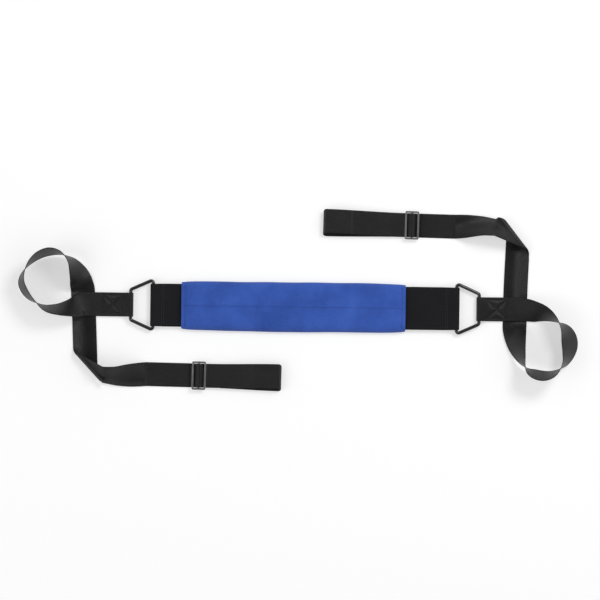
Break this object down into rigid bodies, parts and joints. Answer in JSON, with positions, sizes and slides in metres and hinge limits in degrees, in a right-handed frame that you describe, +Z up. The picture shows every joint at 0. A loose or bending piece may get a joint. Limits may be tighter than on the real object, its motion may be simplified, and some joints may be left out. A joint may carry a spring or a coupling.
{
  "type": "gait belt",
  "caption": "Wide webbing belt in a padded sliding sleeve, with wire rings that carry straps ending in adjustable hand loops.",
  "frame": {"origin": "on the flat underside of the sleeve, midway between the two rings", "axes": "+X along the belt towards the ring whose strap turns away from the viewer, +Y across the belt, +Z up off the surface it lies on"},
  "size_m": [0.8878, 0.2874, 0.0443],
  "materials": {
    "belt_webbing": "matte woven black webbing",
    "strap_webbing": "satin woven black webbing",
    "sleeve_cloth": "brushed royal blue cloth",
    "foam": "open cell foam sheet",
    "blue_thread": "blue sewing thread",
    "black_thread": "black sewing thread",
    "ring_wire": "gloss black coated steel wire",
    "slider_metal": "dull nickel plate"
  },
  "bodies": {
    "belt": {"belt_webbing": "belt_webbing", "left_belt_stitching": "black_thread", "right_belt_stitching": "black_thread"},
    "sleeve": {"sleeve_cover": "sleeve_cloth", "sleeve_pad": "foam", "sleeve_seam_stitching": "blue_thread", "left_hem_stitching": "blue_thread", "right_hem_stitching": "blue_thread"},
    "left_ring": {"left_ring": "ring_wire"},
    "left_strap": {"left_strap_webbing": "strap_webbing", "left_box_stitching": "black_thread", "left_strap_run": "strap_webbing"},
    "left_slider": {"left_slider_frame": "slider_metal", "left_slider_tail": "strap_webbing", "left_tail_stitching": "black_thread", "left_hand_loop_upper": "strap_webbing", "left_hand_loop_lower": "strap_webbing"},
    "left_loop_end": {"left_hand_loop_end": "strap_webbing"},
    "right_ring": {"right_ring": "ring_wire"},
    "right_strap": {"right_strap_webbing": "strap_webbing", "right_box_stitching": "black_thread", "right_strap_run": "strap_webbing"},
    "right_slider": {"right_slider_frame": "slider_metal", "right_slider_tail": "strap_webbing", "right_tail_stitching": "black_thread", "right_hand_loop_upper": "strap_webbing", "right_hand_loop_lower": "strap_webbing"},
    "right_loop_end": {"right_hand_loop_end": "strap_webbing"}
  },
  "joints": [
    {"name": "sleeve_slide", "type": "slide", "parent": "belt", "child": "sleeve", "axis": [1, 0, 0], "range_m": [-0.02, 0.05]},
    {"name": "left_ring_hinge", "type": "hinge", "parent": "belt", "child": "left_ring", "pos_m": [-0.24, 0, 0.0053], "axis": [0, 1, 0], "range_deg": [-75, 75]},
    {"name": "left_strap_hinge", "type": "hinge", "parent": "left_ring", "child": "left_strap", "pos_m": [-0.2755, 0, 0.0053], "axis": [0, 1, 0], "range_deg": [-75, 75]},
    {"name": "left_slider_slide", "type": "slide", "parent": "left_strap", "child": "left_slider", "axis": [0.9999, -0.014, 0], "range_m": [-0.045, 0.06], "deforming": ["left_strap_run"]},
    {"name": "left_loop_end_slide", "type": "slide", "parent": "left_slider", "child": "left_loop_end", "axis": [0.9999, -0.014, 0], "range_m": [-0.03, 0.0225], "deforming": ["left_hand_loop_upper", "left_hand_loop_lower"]},
    {"name": "right_ring_hinge", "type": "hinge", "parent": "belt", "child": "right_ring", "pos_m": [0.24, 0, 0.0053], "axis": [0, -1, 0], "range_deg": [-75, 75]},
    {"name": "right_strap_hinge", "type": "hinge", "parent": "right_ring", "child": "right_strap", "pos_m": [0.2755, 0, 0.0053], "axis": [0, -1, 0], "range_deg": [-75, 75]},
    {"name": "right_slider_slide", "type": "slide", "parent": "right_strap", "child": "right_slider", "axis": [-0.9998, 0.0192, 0], "range_m": [-0.045, 0.06], "deforming": ["right_strap_run"]},
    {"name": "right_loop_end_slide", "type": "slide", "parent": "right_slider", "child": "right_loop_end", "axis": [-0.9998, 0.0192, 0], "range_m": [-0.03, 0.0225], "deforming": ["right_hand_loop_upper", "right_hand_loop_lower"]}
  ],
  "couplings": [
    {"joint": "left_loop_end_slide", "follows": "left_slider_slide", "ratio": -0.5},
    {"joint": "right_loop_end_slide", "follows": "right_slider_slide", "ratio": -0.5}
  ]
}
